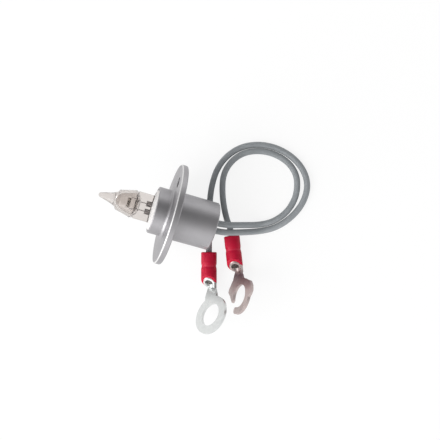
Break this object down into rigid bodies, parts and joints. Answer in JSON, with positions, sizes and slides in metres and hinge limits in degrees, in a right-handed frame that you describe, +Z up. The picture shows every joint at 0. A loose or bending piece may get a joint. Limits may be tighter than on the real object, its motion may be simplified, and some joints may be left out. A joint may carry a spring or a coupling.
{
  "type": "chemistry analyzer lamp",
  "caption": "Small clear quartz halogen capsule cemented in a flanged metal holder, with grey leads that end in red insulated ring and hook crimp terminals.",
  "frame": {"origin": "centre of the lamp's own footprint (bulb and holder without the leads) on the surface it lies on", "axes": "+X towards the leads along the lamp's own axis seen from above, +Y along the flange's width, +Z up; the bulb points to -X and up because the lamp lies on its flange rim and on the lead under its rear edge"},
  "size_m": [0.0519, 0.0566, 0.026],
  "materials": {
    "satin_metal": "satin turned",
    "cement": "matte white cement",
    "quartz": "clear polished",
    "tungsten": "dark drawn wire",
    "molybdenum": "satin",
    "splice_metal": "satin",
    "potting": "matte",
    "lead_insulation": "smooth satin grey",
    "tinned_copper": "bright strands",
    "red_insulator": "semi-gloss translucent red",
    "bright_terminal": "bright tin plate",
    "dull_terminal": "dull tin plate"
  },
  "bodies": {
    "root": {"flange_housing": "satin_metal", "front_cement": "cement", "bulb_envelope": "quartz", "filament": "tungsten", "filament_leg_left": "tungsten", "filament_leg_right": "tungsten", "foil_left": "molybdenum", "foil_right": "molybdenum", "contact_pin_left": "molybdenum", "contact_pin_right": "molybdenum", "splice_left": "splice_metal", "splice_right": "splice_metal", "rear_potting": "potting", "lead_ring": "lead_insulation", "lead_fork": "lead_insulation", "conductor_ring": "tinned_copper", "conductor_fork": "tinned_copper", "ring_sleeve": "red_insulator", "fork_sleeve": "red_insulator", "ring_terminal": "bright_terminal", "fork_terminal": "dull_terminal"}
  },
  "joints": []
}
